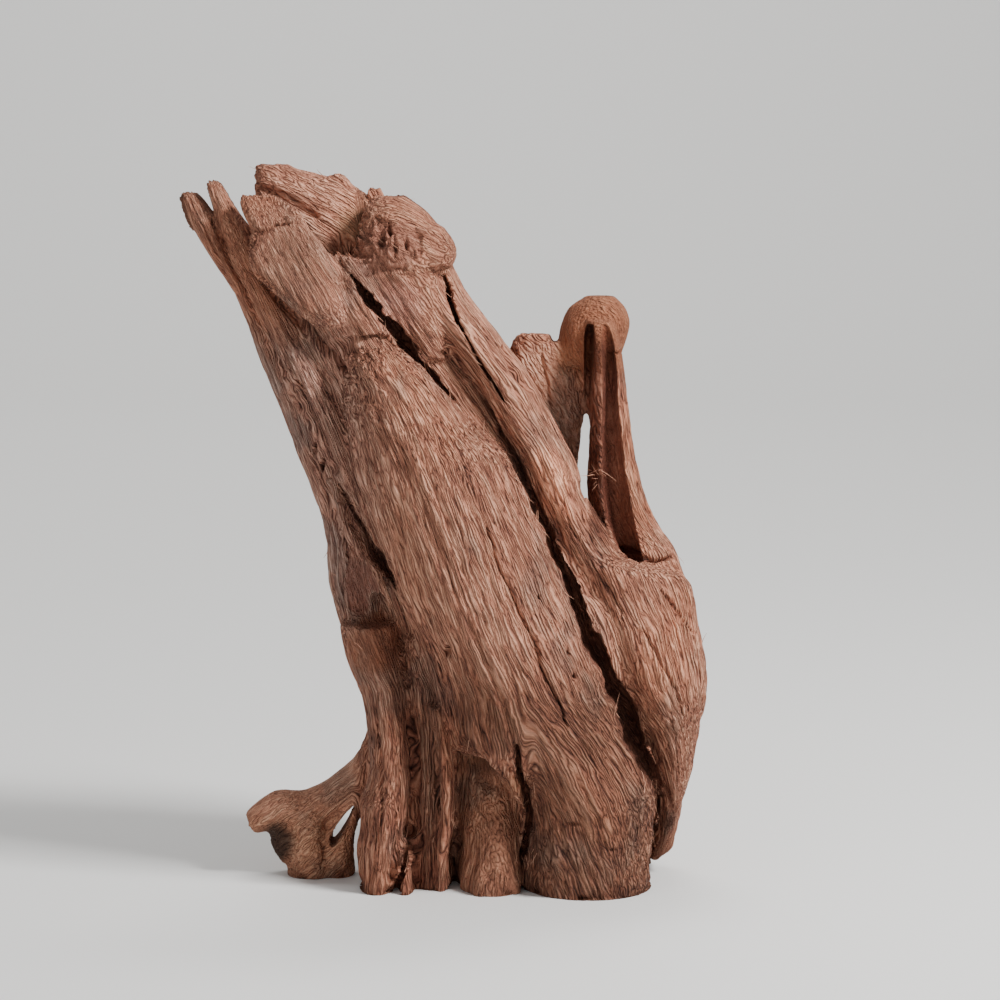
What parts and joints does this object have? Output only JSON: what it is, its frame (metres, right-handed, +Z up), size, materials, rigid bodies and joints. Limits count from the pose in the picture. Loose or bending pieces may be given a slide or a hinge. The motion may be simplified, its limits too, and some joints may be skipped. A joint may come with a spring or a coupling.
{
  "type": "driftwood sculpture",
  "caption": "Upright weathered driftwood: a leaning trunk of twisted strands with deep cracks, a hollow spur, a wing and a splayed root, standing on its flat foot.",
  "frame": {"origin": "middle of the trunk's flat foot, in the plane that the piece stands on", "axes": "+Z up; the cracked front looks along -Y; the trunk leans towards -X and the hollow spur is on the +X side"},
  "size_m": [0.1556, 0.0707, 0.2142],
  "materials": {
    "driftwood": "dry, weathered, fibrous, unvarnished"
  },
  "bodies": {
    "root": {"driftwood": "driftwood"}
  },
  "joints": []
}
